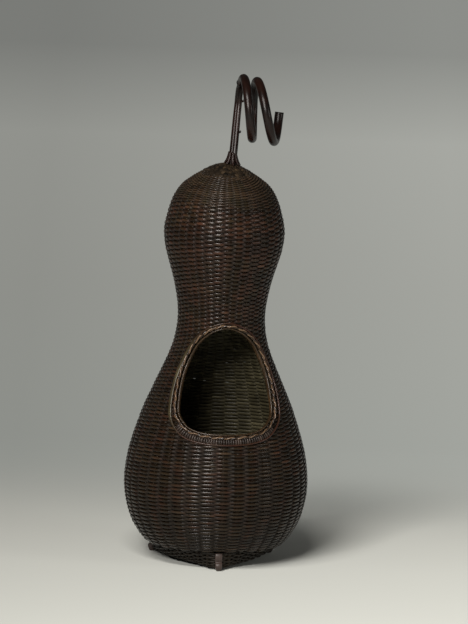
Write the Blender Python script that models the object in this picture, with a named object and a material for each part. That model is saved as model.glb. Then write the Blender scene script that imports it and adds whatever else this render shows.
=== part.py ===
"""Gourd-shaped hanging flower basket of split bamboo, with a curled branch handle.

Units are metres, +Z is up, the mouth faces -Y, and the feet stand on z = 0.
"""

import math

import bmesh
import bpy
from mathutils import Matrix, Vector

MM = 0.001

# Clearances
GAP = 0.3 * MM
CUT_OVERRUN = 6.0 * MM

# Woven body: radii of the outer surface and the heights where they lie
FOOT_RADIUS = 69.0 * MM
FOOT_Z = 18.0 * MM
BELLY_RADIUS = 92.0 * MM
BELLY_Z = 80.0 * MM
WAIST_RADIUS = 43.8 * MM
WAIST_Z = 243.0 * MM
BULB_RADIUS = 60.4 * MM
BULB_Z = 331.0 * MM
CROWN_Z = 400.5 * MM
WEFT_END_RADIUS = 30.0 * MM
WALL = 3.2 * MM

# Outline between those heights, as (height share, radius share) of each stretch
BELLY_SHARES = ((0.0, 0.0), (0.16, 0.35), (0.38, 0.68), (0.66, 0.91))
NECK_SHARES = (
    (0.0, 0.0),
    (0.14, 0.055),
    (0.27, 0.155),
    (0.40, 0.295),
    (0.52, 0.455),
    (0.64, 0.635),
    (0.76, 0.815),
    (0.88, 0.945),
)
BULB_SHARES = ((0.0, 0.0), (0.26, 0.13), (0.46, 0.33), (0.64, 0.62), (0.81, 0.88))
DOME_SHARES = (
    (0.0, 1.0),
    (0.26, 0.95),
    (0.46, 0.88),
    (0.61, 0.795),
    (0.72, 0.68),
    (0.79, 0.575),
    (0.86, 0.45),
    (0.92, 0.325),
    (0.965, 0.215),
    (0.99, 0.11),
    (1.0, 0.0),
)

# Upright stakes that the wefts are woven on: the wall swells over each of them on both faces
STAKE_COUNT = 37
STAKE_RIB_DEPTH = 1.0 * MM

# Wall left above and below the mouth's cut before the next band of the wall starts
BAND_MARGIN = 4.0 * MM

# Crown, where the stakes close up round the handle
CROWN_RIB_DEPTH = 0.5 * MM
CROWN_RING_SHARES = (1.0, 0.72, 0.46, 0.24, 0.0)
HANDLE_OFFSET = 5.6 * MM

# Mouth: clear opening, and its outline as (height share, half-width share)
MOUTH_BOTTOM_Z = 140.0 * MM
MOUTH_HEIGHT = 100.0 * MM
MOUTH_WIDTH = 93.0 * MM
MOUTH_SHIFT = 2.2 * MM
MOUTH_SHARES = (
    (0.0, 0.0),
    (0.01, 0.46),
    (0.04, 0.745),
    (0.085, 0.88),
    (0.16, 0.985),
    (0.24, 1.0),
    (0.41, 0.955),
    (0.58, 0.86),
    (0.76, 0.69),
    (0.87, 0.53),
    (0.96, 0.29),
)
MOUTH_STATIONS = 48
INNER_HOOP_WIDTH = 2.0 * MM
INNER_HOOP_DEPTH = 3.8 * MM
CORD_DIAMETER = 2.6 * MM
OUTER_HOOP_DIAMETER = 1.6 * MM
HOOP_CLOSING_SHARE = 0.2
LASHING_COUNT = 45
LASHING_PITCH = 2.4 * MM
LASHING_WIDTH = 1.6 * MM
LASHING_LENGTH = 4.6 * MM
LASHING_THICKNESS = 1.0 * MM
LASHING_WEB = 0.4 * MM

# Triangular base mat
BASE_Z = 2.0 * MM
BASE_CORNER_RADIUS = 65.7 * MM
BASE_CORNER_ROUND = 9.0 * MM
BASE_FLOOR = 3.0 * MM
BASE_WALL = 3.0 * MM
BASE_RIM_HEIGHT = 4.0 * MM
BASE_SIDES = 60

# Feet at the three corners of the base
FOOT_WIDTH = 7.0 * MM
FOOT_TIP_WIDTH = 4.6 * MM
FOOT_THICKNESS = 2.6 * MM
TOE_REACH = 3.0 * MM
TOE_HEIGHT = 5.0 * MM

# Handle: a branch that runs up from the crown and curls twice to one side
STALK_DIAMETER = 8.2 * MM
STALK_TOP_DIAMETER = 7.8 * MM
COIL_DIAMETER = 9.0 * MM
TAIL_LENGTH = 17.0 * MM
STALK_TOP_OFFSET = 11.0 * MM
COIL_RADIUS = 29.3 * MM
COIL_RISE = 58.0 * MM
COIL_CENTRE_Y = -12.0 * MM
COIL_START_X = 16.7 * MM
COIL_PITCH = 4.1 * MM
COIL_SPREAD = 9.1 * MM
COIL_LEAN = 2.6 * MM
COIL_SKEW = 1.0 * MM
COIL_DROP = 2.8 * MM
COIL_FIRST_TURN = -0.25
COIL_LAST_TURN = 1.73
COIL_STEPS_PER_TURN = 24
STALK_STEPS = 7
HANDLE_SIDES = 10
NODE_TURN = -0.12
NODE_SWELL = 0.6 * MM
BUD_LENGTH = 2.6 * MM
BUD_DIAMETER = 2.0 * MM
BUD_RISE_SHARES = (0.52, 1.0)
ROOT_COUNT = 7
ROOT_REACH = 8.0 * MM
ROOT_RISE = 9.0 * MM
ROOT_TOP_DIAMETER = 4.2 * MM
ROOT_TIP_DIAMETER = 1.4 * MM

# Peg through the handle's tail, under the crown
PEG_DIAMETER = 2.6 * MM
PEG_LENGTH = 24.0 * MM

# Water tube that stands in the lower body
TUBE_RADIUS = 27.0 * MM
TUBE_WALL = 3.0 * MM
TUBE_HEIGHT = 98.0 * MM
TUBE_FLOOR = 5.0 * MM
TUBE_SEGMENTS = 40


def material(name, colour, roughness, metallic=0.0):
    made = bpy.data.materials.new(name)
    made.use_nodes = True
    shader = made.node_tree.nodes["Principled BSDF"]
    shader.inputs["Base Color"].default_value = (*colour, 1.0)
    shader.inputs["Roughness"].default_value = roughness
    shader.inputs["Metallic"].default_value = metallic
    made.diffuse_color = (*colour, 1.0)
    return made


def object_from(name, bm, made, smooth_angle=None):
    bmesh.ops.recalc_face_normals(bm, faces=bm.faces)
    mesh = bpy.data.meshes.new(name)
    bm.to_mesh(mesh)
    bm.free()
    if smooth_angle is not None:
        mesh.shade_smooth()
        mesh.set_sharp_from_angle(angle=math.radians(smooth_angle))
    mesh.materials.append(made)
    built = bpy.data.objects.new(name, mesh)
    bpy.context.scene.collection.objects.link(built)
    return built


def boolean(target, cutter, operation):
    step = target.modifiers.new(cutter.name, "BOOLEAN")
    step.object = cutter
    step.operation = operation
    step.solver = "EXACT"
    cutter.hide_render = True
    cutter.display_type = "WIRE"


def rings_to_mesh(bm, rings, close_ends=True, closed_loop=False):
    """Joins rings of equal length into one skin."""
    rows = [[bm.verts.new(p) for p in ring] for ring in rings]
    pairs = list(zip(rows, rows[1:]))
    if closed_loop:
        pairs.append((rows[-1], rows[0]))
    for low, high in pairs:
        for i in range(len(low)):
            j = (i + 1) % len(low)
            bm.faces.new((low[i], low[j], high[j], high[i]))
    if close_ends and not closed_loop:
        bm.faces.new(rows[0])
        bm.faces.new(rows[-1])
    return rows


def smooth_step(share):
    t = min(1.0, max(0.0, share))
    return t * t * (3.0 - 2.0 * t)


# Body outline


def stretch(shares, low, high):
    """Points of one stretch between two (radius, z) ends."""
    return [
        (
            low[0] + (high[0] - low[0]) * radius_share,
            low[1] + (high[1] - low[1]) * height_share,
        )
        for height_share, radius_share in shares
    ]


def full_outline():
    """(radius, z) points of the outer surface, from the lower edge to the crown's top."""
    foot = (FOOT_RADIUS, FOOT_Z)
    belly = (BELLY_RADIUS, BELLY_Z)
    waist = (WAIST_RADIUS, WAIST_Z)
    bulb = (BULB_RADIUS, BULB_Z)
    crown = (0.0, CROWN_Z)
    points = stretch(BELLY_SHARES, foot, belly)
    points += stretch(NECK_SHARES, belly, waist)
    points += stretch(BULB_SHARES, waist, bulb)
    points += [
        (BULB_RADIUS * radius_share, BULB_Z + (CROWN_Z - BULB_Z) * height_share)
        for height_share, radius_share in DOME_SHARES
    ]
    return points


OUTLINE = full_outline()


def radius_at(z):
    """Outer radius of the body at height z."""
    for (r0, z0), (r1, z1) in zip(OUTLINE, OUTLINE[1:]):
        if z <= z1:
            return r0 + (r1 - r0) * (z - z0) / (z1 - z0)
    return 0.0


def dome_height(radius):
    """Height of the dome's outer surface at a distance from the axis."""
    dome = [p for p in OUTLINE if p[1] >= BULB_Z]
    for (r0, z0), (r1, z1) in zip(dome, dome[1:]):
        if radius >= r1:
            return z0 + (z1 - z0) * (r0 - radius) / (r0 - r1)
    return CROWN_Z


def outline_normal(points, i):
    """Outward normal of a (radius, z) polyline at point i."""
    r0, z0 = points[max(0, i - 1)]
    r1, z1 = points[min(len(points) - 1, i + 1)]
    length = math.hypot(r1 - r0, z1 - z0)
    return (z1 - z0) / length, -(r1 - r0) / length


def surface_slope(z):
    """Outward normal (radial, upward) of the body at height z."""
    for i, ((r0, z0), (r1, z1)) in enumerate(zip(OUTLINE, OUTLINE[1:])):
        if z <= z1:
            length = math.hypot(r1 - r0, z1 - z0)
            return (z1 - z0) / length, -(r1 - r0) / length
    return 0.0, 1.0


def woven_outline():
    """The outline's points up to where the wefts end."""
    top = (WEFT_END_RADIUS, dome_height(WEFT_END_RADIUS))
    kept = [p for p in OUTLINE if p[1] < BULB_Z or p[0] > WEFT_END_RADIUS * 1.05]
    return kept + [top]


def inward(points, i, depth):
    nr, nz = outline_normal(points, i)
    return points[i][0] - nr * depth, points[i][1] - nz * depth


def inner_line(depth):
    """The woven outline moved in by a depth."""
    points = woven_outline()
    line = [inward(points, i, depth) for i in range(len(points))]
    line[0] = (points[0][0] - depth, points[0][1])
    return line


def crossing(line, z):
    """The point of a rising (radius, z) line at a height that lies within it."""
    for (r0, z0), (r1, z1) in zip(line, line[1:]):
        if z <= z1:
            return r0 + (r1 - r0) * (z - z0) / (z1 - z0), z
    return line[-1]


def band_lines(low, high, depths):
    """The woven outline between two heights, moved in by each depth. Each line has the
    same number of points."""
    lines = [inner_line(depth) for depth in depths]
    rows = [i for i, _ in enumerate(lines[0]) if all(low < line[i][1] < high for line in lines)]
    made = []
    for line in lines:
        kept = [line[i] for i in rows]
        if low > line[0][1]:
            kept.insert(0, crossing(line, low))
        if high < line[-1][1]:
            kept.append(crossing(line, high))
        made.append(kept)
    return made


def on_ring(radius, z, step, steps, centre=0.0):
    """A point at a step round the axis, counted from the front."""
    angle = math.tau * step / steps - math.pi / 2.0
    return Vector((centre + radius * math.cos(angle), radius * math.sin(angle), z))


def ring(radius, z, steps, centre=0.0):
    return [on_ring(radius, z, i, steps, centre) for i in range(steps)]


def stake_ring(at_stake, between):
    """A ring that passes through one (radius, z) at each stake and another between them."""
    steps = STAKE_COUNT * 2
    return [on_ring(*(between if i % 2 else at_stake), i, steps) for i in range(steps)]


# Mouth outline


def mouth_outline():
    """Smooth closed outline of the clear opening, as (x, z), from the bottom round by +X."""
    half = MOUTH_WIDTH / 2.0
    right = [(w * half, MOUTH_BOTTOM_Z + h * MOUTH_HEIGHT) for h, w in MOUTH_SHARES]
    top = [(0.0, MOUTH_BOTTOM_Z + MOUTH_HEIGHT)]
    left = [(-x, z) for x, z in reversed(right[1:])]
    marks = [Vector((x + MOUTH_SHIFT, z)) for x, z in right + top + left]
    fine = []
    count = len(marks)
    for i in range(count):
        a, b, c, d = (marks[(i + k - 1) % count] for k in range(4))
        for step in range(12):
            t = step / 12.0
            fine.append(
                0.5
                * (
                    2.0 * b
                    + (c - a) * t
                    + (2.0 * a - 5.0 * b + 4.0 * c - d) * t * t
                    + (3.0 * b - a - 3.0 * c + d) * t * t * t
                )
            )
    return fine


def moved_out(edge, along, reach):
    """The (x, z) of the place a distance from one on the front of the body, square to a
    direction along the surface."""
    radius = radius_at(edge.y)
    radial, upward = surface_slope(edge.y)
    turn = math.asin(edge.x / radius)
    sideways = (along.x + upward / radial * math.sin(turn) * along.y) / math.cos(turn)
    out = Vector((along.y / radial, -sideways)).normalized()
    z = edge.y + out.y * radial * reach
    return Vector((radius_at(z) * math.sin(turn + out.x * reach / radius), z))


def mouth_stations(outset, count=MOUTH_STATIONS, low_outset=None):
    """(x, z) stations evenly spaced along the mouth's edge, each moved square out from it
    over the body's surface. low_outset is the outset along the mouth's lower part, from
    where it closes in to the other at the top."""
    low_outset = outset if low_outset is None else low_outset
    fine = mouth_outline()
    number = len(fine)
    lengths = [0.0]
    for i in range(number):
        lengths.append(lengths[-1] + (fine[(i + 1) % number] - fine[i]).length)
    stations = []
    k = 0
    for i in range(count):
        target = lengths[-1] * i / count
        while lengths[k + 1] < target:
            k += 1
        share = (target - lengths[k]) / (lengths[k + 1] - lengths[k])
        before, here, ahead, beyond = (fine[(k + step) % number] for step in (-1, 0, 1, 2))
        along = (ahead - before).lerp(beyond - here, share).normalized()
        edge = here.lerp(ahead, share)
        rise_share = (edge.y - MOUTH_BOTTOM_Z) / MOUTH_HEIGHT
        closed = smooth_step((rise_share - HOOP_CLOSING_SHARE) / (1.0 - HOOP_CLOSING_SHARE))
        stations.append(moved_out(edge, along, low_outset + (outset - low_outset) * closed))
    return stations


CUT_OUTSET = INNER_HOOP_WIDTH + GAP
CORD_OUTSET = CUT_OUTSET + CORD_DIAMETER / 2.0
LASHING_OUTSET = CORD_OUTSET + CORD_DIAMETER / 2.0 + GAP
OUTER_HOOP_OUTSET = LASHING_OUTSET + OUTER_HOOP_DIAMETER / 2.0
OUTER_HOOP_LOW_OUTSET = OUTER_HOOP_OUTSET + LASHING_LENGTH + GAP


def on_body(x, z, lift):
    """The point straight behind (x, z) on the front of the body, brought forward until it
    stands a lift off the surface, and the surface's normal there."""
    radius = radius_at(z)
    side = max(-0.98, min(0.98, x / radius))
    front = Vector((side, -math.sqrt(1.0 - side * side), 0.0))
    radial, upward = surface_slope(z)
    normal = Vector((front.x * radial, front.y * radial, upward))
    point = front * radius + Vector((0.0, 0.0, z))
    point.y -= lift / -normal.y
    return point, normal


def mouth_prism(name, outset, made):
    bm = bmesh.new()
    outline = mouth_stations(outset)
    near = -(BELLY_RADIUS + CUT_OVERRUN)
    far = -CUT_OVERRUN
    rings_to_mesh(bm, [[Vector((p.x, y, p.y)) for p in outline] for y in (near, far)])
    return object_from(name, bm, made)


def mouth_loop(name, stations, width, depth, lift, sides, made):
    """A closed loop through stations round the mouth, its width measured along the body's
    surface and its depth square to it."""
    count = len(stations)
    rings = []
    for i, station in enumerate(stations):
        along = (stations[(i + 1) % count] - stations[i - 1]).normalized()
        out = Vector((along.y, -along.x))
        centre, normal = on_body(station.x, station.y, lift)
        back = (out.x * normal.x + out.y * normal.z) / -normal.y
        across = Vector((out.x, back, out.y)).normalized() * width / 2.0
        through = Vector((0.0, depth / 2.0 / normal.y, 0.0))
        rings.append(
            [
                centre
                + across * math.cos(math.tau * (k + 0.5) / sides)
                + through * math.sin(math.tau * (k + 0.5) / sides)
                for k in range(sides)
            ]
        )
    bm = bmesh.new()
    rings_to_mesh(bm, rings, closed_loop=True)
    return object_from(name, bm, made, 50.0)


# Body pieces


def band_ends():
    """Heights where the wall's bands meet: below and above the belly's widest part, under
    the mouth, over it, and over the waist."""
    under = MOUTH_BOTTOM_Z - CUT_OUTSET - BAND_MARGIN
    over = MOUTH_BOTTOM_Z + MOUTH_HEIGHT + CUT_OUTSET + BAND_MARGIN
    below_belly = (FOOT_Z + BELLY_Z) / 2.0
    above_belly = BELLY_Z + (under - BELLY_Z) / 3.0
    return below_belly, above_belly, under, over, (over + BULB_Z) / 2.0


def woven_band(name, low, high, made):
    """The woven wall between two heights."""
    depths = (0.0, STAKE_RIB_DEPTH, WALL - STAKE_RIB_DEPTH, WALL)
    face, face_groove, back_groove, back = band_lines(low, high, depths)
    outer = [stake_ring(rib, groove) for rib, groove in zip(face, face_groove)]
    inner = [stake_ring(rib, groove) for rib, groove in zip(back, back_groove)]
    bm = bmesh.new()
    rings_to_mesh(bm, outer + inner[::-1], closed_loop=True)
    return object_from(name, bm, made, 40.0)


def woven_wall(made):
    below_belly, above_belly, under, over, above_waist = band_ends()
    woven_band("woven_foot_band", -math.inf, below_belly, made)
    woven_band("woven_belly_band", below_belly + GAP, above_belly, made)
    woven_band("woven_lip_band", above_belly + GAP, under, made)
    shoulder = woven_band("woven_shoulder_band", under + GAP, over, made)
    boolean(shoulder, mouth_prism("mouth_cut_form", CUT_OUTSET, made), "DIFFERENCE")
    woven_band("woven_neck_band", over + GAP, above_waist, made)
    woven_band("woven_bulb_band", above_waist + GAP, math.inf, made)


def crown(made):
    """Dome of converging stakes, with a rib for each and a hole for the handle."""
    points = woven_outline()
    nr, nz = outline_normal(points, len(points) - 1)
    start = points[-1]
    rim = (start[0] - nz * GAP, start[1] + nr * GAP)
    hole = STALK_DIAMETER / 2.0 + GAP * 1.5
    steps = STAKE_COUNT * 2
    outer = []
    inner = []
    for share in CROWN_RING_SHARES:
        radius = hole + (rim[0] - hole) * share
        centre = HANDLE_OFFSET * (1.0 - share)
        top = ring(radius, rim[1], steps, centre)
        under = ring(radius - WALL * nr * share, rim[1] - WALL * nz, steps, centre)
        for i, (over, below) in enumerate(zip(top, under)):
            if share < 1.0:
                over.z = dome_height(math.hypot(over.x, over.y))
                below.z = over.z - WALL
            if i % 2 == 1:
                over.z -= CROWN_RIB_DEPTH
        outer.append(top)
        inner.append(under)
    bm = bmesh.new()
    rings_to_mesh(bm, outer + inner[::-1], closed_loop=True)
    return object_from("crown", bm, made)


# Base and feet


def triangle_radius(angle):
    """Distance from the axis to the base's straight-sided, round-cornered edge."""
    sector = math.tau / 3.0
    off = (angle + math.pi / 2.0 + sector / 2.0) % sector - sector / 2.0
    round_centre = BASE_CORNER_RADIUS - BASE_CORNER_ROUND
    side = round_centre * math.cos(sector / 2.0) + BASE_CORNER_ROUND
    straight = side / math.cos(sector / 2.0 - abs(off))
    beside = round_centre * math.sin(off)
    if abs(beside) < BASE_CORNER_ROUND:
        arc = round_centre * math.cos(off) + math.sqrt(BASE_CORNER_ROUND**2 - beside**2)
        return min(straight, arc)
    return straight


def base_ring(blend, radius, z, inset):
    """A ring that runs from the triangle, at blend 0, to a circle, at blend 1."""
    made = []
    for i in range(BASE_SIDES):
        angle = math.tau * i / BASE_SIDES - math.pi / 2.0
        reach = triangle_radius(angle) * (1.0 - blend) + radius * blend - inset
        made.append(Vector((reach * math.cos(angle), reach * math.sin(angle), z)))
    return made


def base_mat(made):
    """Triangular dish that closes the body, its round rim standing inside the wefts."""
    rim = FOOT_RADIUS - WALL - GAP * 2.0
    corner = min(rim, BASE_CORNER_RADIUS)
    top = FOOT_Z + BASE_RIM_HEIGHT
    floor_top = BASE_Z + BASE_FLOOR
    mid = (BASE_Z + FOOT_Z) / 2.0
    outer = [
        base_ring(0.0, corner, BASE_Z, 0.0),
        base_ring(0.5, corner, mid, 0.0),
        base_ring(1.0, corner, FOOT_Z, 0.0),
        base_ring(1.0, corner, top, 0.0),
    ]
    inner = [
        base_ring(0.2, corner, floor_top, BASE_WALL),
        base_ring(0.5, corner, mid + BASE_FLOOR / 2.0, BASE_WALL),
        base_ring(1.0, corner, FOOT_Z + BASE_FLOOR / 2.0, BASE_WALL),
        base_ring(1.0, corner, top, BASE_WALL),
    ]
    bm = bmesh.new()
    rings_to_mesh(bm, outer + inner[::-1])
    return object_from("base_mat", bm, made)


def foot(name, turn, made):
    """A strip down a corner of the base, with its end turned out as a toe."""
    back = BASE_CORNER_RADIUS + GAP
    top = FOOT_Z - GAP
    face = back + FOOT_THICKNESS
    toe = face + TOE_REACH
    low = TOE_HEIGHT * 0.3
    side = [
        (back, top, FOOT_WIDTH),
        (face, top, FOOT_WIDTH),
        (face, TOE_HEIGHT + TOE_REACH, FOOT_WIDTH),
        (toe, TOE_HEIGHT, FOOT_WIDTH),
        (toe, low, FOOT_WIDTH),
        (toe - TOE_REACH / 2.0, 0.0, FOOT_TIP_WIDTH),
        (back, 0.0, FOOT_TIP_WIDTH),
        (back, low, FOOT_WIDTH),
    ]
    rings = [[Vector((share * w, -r, z)) for r, z, w in side] for share in (-0.5, 0.5)]
    bm = bmesh.new()
    rings_to_mesh(bm, rings)
    bmesh.ops.transform(bm, matrix=Matrix.Rotation(turn, 4, "Z"), verts=bm.verts)
    return object_from(name, bm, made)


# Mouth pieces


def along_mouth(stations, distance):
    """Index of the station that lies a distance round the mouth from its lowest point."""
    turn = 1 if distance >= 0.0 else -1
    travelled = 0.0
    i = 0
    while travelled < abs(distance):
        travelled += (stations[turn * (i + 1)] - stations[turn * i]).length
        i += 1
    return turn * i


def lashings(made):
    """Row of upright wraps below the mouth's hoops, one beside the next."""
    upper = mouth_stations(LASHING_OUTSET, MOUTH_STATIONS * 16)
    lower = mouth_stations(LASHING_OUTSET + LASHING_LENGTH, MOUTH_STATIONS * 16)
    rings = []
    for wrap in range(LASHING_COUNT):
        centre = (wrap - (LASHING_COUNT - 1) / 2.0) * LASHING_PITCH
        half = LASHING_WIDTH / 2.0
        edges = [(-half, LASHING_THICKNESS), (half, LASHING_THICKNESS)]
        if wrap < LASHING_COUNT - 1:
            inset = (LASHING_PITCH - LASHING_WIDTH) * 0.2
            edges += [(half + inset, LASHING_WEB), (LASHING_PITCH - half - inset, LASHING_WEB)]
        for offset, height in edges:
            i = along_mouth(upper, centre + offset)
            near, far = upper[i], lower[i]
            low = [on_body(p.x, p.y, GAP)[0] for p in (near, far)]
            high = [on_body(p.x, p.y, GAP + height)[0] for p in (far, near)]
            rings.append(low + high)
    bm = bmesh.new()
    rings_to_mesh(bm, rings)
    return object_from("mouth_lashings", bm, made)


# Handle


def coil_point(turn):
    """Centreline of the curl: turn 0 is its first top, turn 0.25 its first front."""
    angle = math.tau * turn
    x = COIL_START_X + COIL_PITCH * turn + COIL_SPREAD * turn * turn
    x += -COIL_LEAN * math.cos(angle) - COIL_SKEW * math.sin(angle)
    joined = smooth_step((turn - COIL_FIRST_TURN) / 0.35)
    x = STALK_TOP_OFFSET * (1.0 - joined) + x * joined
    y = COIL_CENTRE_Y - COIL_RADIUS * math.sin(angle)
    z = CROWN_Z + COIL_RISE - COIL_DROP * turn + COIL_RADIUS * math.cos(angle)
    return Vector((x, y, z))


def stalk_point(share):
    """Centreline from the crown, at share 0, to the start of the curl."""
    root = Vector((HANDLE_OFFSET, 0.0, CROWN_Z + ROOT_TIP_DIAMETER))
    top = coil_point(COIL_FIRST_TURN)
    rise = (top - root).z
    lean = 3.0 * share * share - 2.0 * share * share * share
    straight = root.lerp(top, share)
    straight.y = root.y + (top.y - root.y) * (lean * 0.6 + share * 0.4)
    straight.z = root.z + rise * share
    return straight


def handle_path():
    """(point, radius) along the whole handle."""
    tail = Vector((HANDLE_OFFSET, 0.0, CROWN_Z - TAIL_LENGTH))
    path = [(tail, STALK_DIAMETER / 2.0)]
    for i in range(STALK_STEPS):
        share = i / STALK_STEPS
        width = STALK_DIAMETER + (STALK_TOP_DIAMETER - STALK_DIAMETER) * share
        path.append((stalk_point(share), width / 2.0))
    count = round((COIL_LAST_TURN - COIL_FIRST_TURN) * COIL_STEPS_PER_TURN)
    for i in range(count + 1):
        turn = COIL_FIRST_TURN + (COIL_LAST_TURN - COIL_FIRST_TURN) * i / count
        grown = smooth_step((turn - COIL_FIRST_TURN) * 2.0)
        width = STALK_TOP_DIAMETER + (COIL_DIAMETER - STALK_TOP_DIAMETER) * grown
        swell = max(0.0, 1.0 - abs(turn - NODE_TURN) * COIL_STEPS_PER_TURN)
        path.append((coil_point(turn), width / 2.0 + NODE_SWELL * swell))
    return path


def least_gap(path):
    """Smallest clearance between stretches of the handle at least half a turn apart."""
    apart = COIL_STEPS_PER_TURN // 2
    return min(
        (a - b).length - ra - rb
        for i, (a, ra) in enumerate(path)
        for b, rb in path[i + apart :]
    )


def tube(bm, path, sides):
    """A tube with closed ends through (point, radius) stations."""
    rings = []
    side = Vector((1.0, 0.0, 0.0))
    for i, (centre, radius) in enumerate(path):
        before = path[max(0, i - 1)][0]
        after = path[min(len(path) - 1, i + 1)][0]
        along = (after - before).normalized()
        side = (side - along * side.dot(along)).normalized()
        across = along.cross(side)
        rings.append(
            [
                centre
                + side * radius * math.cos(math.tau * k / sides)
                + across * radius * math.sin(math.tau * k / sides)
                for k in range(sides)
            ]
        )
    rings_to_mesh(bm, rings)


def roots(made):
    """Root ends that spread from the handle's foot over the crown."""
    bm = bmesh.new()
    for i in range(ROOT_COUNT):
        angle = math.tau * (i + 0.25) / ROOT_COUNT
        out = Vector((math.cos(angle), math.sin(angle), 0.0))
        foot_spot = Vector((HANDLE_OFFSET, 0.0, 0.0)) + out * ROOT_REACH
        tip_radius = ROOT_TIP_DIAMETER / 2.0
        tip_z = dome_height(foot_spot.length) + tip_radius + GAP
        hip = Vector((HANDLE_OFFSET, 0.0, 0.0)) + out * STALK_DIAMETER * 0.55
        hip_z = dome_height(hip.length) + ROOT_TOP_DIAMETER * 0.5 + GAP * 2.0
        centre = Vector((HANDLE_OFFSET, 0.0, CROWN_Z))
        path = [
            (centre + out * STALK_DIAMETER * 0.33 + Vector((0.0, 0.0, ROOT_RISE)), tip_radius),
            (Vector((hip.x, hip.y, hip_z + ROOT_RISE * 0.18)), ROOT_TOP_DIAMETER * 0.40),
            (Vector((foot_spot.x, foot_spot.y, tip_z)), tip_radius),
        ]
        tube(bm, path, 6)
    return object_from("handle_roots_form", bm, made)


def buds(made):
    """Two small buds on the stalk's outer side."""
    bm = bmesh.new()
    for share in BUD_RISE_SHARES:
        centre = stalk_point(share)
        start = centre + Vector((STALK_TOP_DIAMETER * 0.25, 0.0, 0.0))
        end = centre + Vector((STALK_TOP_DIAMETER / 2.0 + BUD_LENGTH * 0.5, 0.0, BUD_LENGTH))
        tube(bm, [(start, BUD_DIAMETER / 2.0), (end, BUD_DIAMETER / 4.0)], 6)
    return object_from("handle_buds_form", bm, made)


def rod_along_x(name, diameter, length, centre, sides, made):
    bm = bmesh.new()
    ends = (centre.x - length / 2.0, centre.x + length / 2.0)
    tube_path = [(Vector((x, centre.y, centre.z)), diameter / 2.0) for x in ends]
    rings = []
    for point, radius in tube_path:
        rings.append(
            [
                point
                + Vector((0.0, math.cos(math.tau * k / sides), math.sin(math.tau * k / sides)))
                * radius
                for k in range(sides)
            ]
        )
    rings_to_mesh(bm, rings)
    return object_from(name, bm, made, 40.0)


def peg_centre():
    """Under the crown, low enough for the peg's ends to clear the dome's inside."""
    end = HANDLE_OFFSET + PEG_LENGTH / 2.0
    z = dome_height(end) - WALL - GAP * 2.0 - PEG_DIAMETER / 2.0 - CROWN_RIB_DEPTH
    return Vector((HANDLE_OFFSET, 0.0, z))


def handle(made):
    path = handle_path()
    print("least gap of the handle to itself, mm:", round(least_gap(path) / MM, 2))
    bm = bmesh.new()
    tube(bm, path, HANDLE_SIDES)
    built = object_from("spiral_handle", bm, made, 60.0)
    boolean(built, roots(made), "UNION")
    boolean(built, buds(made), "UNION")
    hole = PEG_DIAMETER + GAP * 2.0
    length = STALK_DIAMETER + CUT_OVERRUN
    cutter = rod_along_x("peg_hole_form", hole, length, peg_centre(), 16, made)
    boolean(built, cutter, "DIFFERENCE")
    return built


# Water tube


def water_tube(made):
    """A length of cane closed below by its own joint."""
    low = BASE_Z + BASE_FLOOR + GAP
    top = low + TUBE_HEIGHT
    floor_top = low + TUBE_FLOOR
    bore = TUBE_RADIUS - TUBE_WALL
    levels = [(TUBE_RADIUS, low), (TUBE_RADIUS, top), (bore, top), (bore, floor_top)]
    bm = bmesh.new()
    rings_to_mesh(bm, [ring(r, z - low, TUBE_SEGMENTS) for r, z in levels])
    built = object_from("water_tube", bm, made, 40.0)
    built.location = (0.0, 0.0, low)
    return built


def build():
    for old in list(bpy.data.objects):
        bpy.data.objects.remove(old, do_unlink=True)

    weft = material("dark_lacquered_weft", (0.045, 0.030, 0.020), 0.42)
    stake = material("stake_bamboo", (0.060, 0.040, 0.026), 0.45)
    hoop = material("rim_bamboo", (0.150, 0.085, 0.040), 0.38)
    cord = material("rim_cord", (0.180, 0.105, 0.050), 0.45)
    mat = material("base_bamboo", (0.035, 0.030, 0.022), 0.50)
    toe = material("foot_bamboo", (0.140, 0.090, 0.080), 0.50)
    branch = material("handle_branch", (0.075, 0.030, 0.022), 0.28)
    pin = material("peg_bamboo", (0.200, 0.130, 0.070), 0.50)
    cane = material("water_tube_cane", (0.120, 0.080, 0.040), 0.45)

    woven_wall(weft)
    crown(stake)
    base_mat(mat)
    for name, step in (("foot_front", 0), ("foot_right", 1), ("foot_left", 2)):
        foot(name, math.tau * step / 3.0, toe)

    middle = -WALL / 2.0
    mouth_loop(
        "mouth_inner_hoop",
        mouth_stations(INNER_HOOP_WIDTH / 2.0),
        INNER_HOOP_WIDTH,
        INNER_HOOP_DEPTH,
        middle,
        8,
        hoop,
    )
    mouth_loop(
        "mouth_twisted_cord",
        mouth_stations(CORD_OUTSET),
        CORD_DIAMETER - GAP,
        CORD_DIAMETER,
        CORD_DIAMETER / 2.0 + GAP,
        8,
        cord,
    )
    mouth_loop(
        "mouth_outer_hoop",
        mouth_stations(OUTER_HOOP_OUTSET, low_outset=OUTER_HOOP_LOW_OUTSET),
        OUTER_HOOP_DIAMETER - GAP,
        OUTER_HOOP_DIAMETER,
        OUTER_HOOP_DIAMETER / 2.0 + GAP,
        6,
        hoop,
    )
    lashings(cord)

    handle(branch)
    rod_along_x("handle_peg", PEG_DIAMETER, PEG_LENGTH, peg_centre(), 12, pin)
    water_tube(cane)


build()
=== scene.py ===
"""Looks of a gourd-shaped hanging flower basket: woven split bamboo and a curled branch.

Lengths are written in millimetres and turned into metres where the meshes are made.
+Z is up, the mouth faces -Y, and the feet stand on z = 0.
"""

import math

import bpy
import numpy as np
from mathutils import Matrix, Vector

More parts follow.
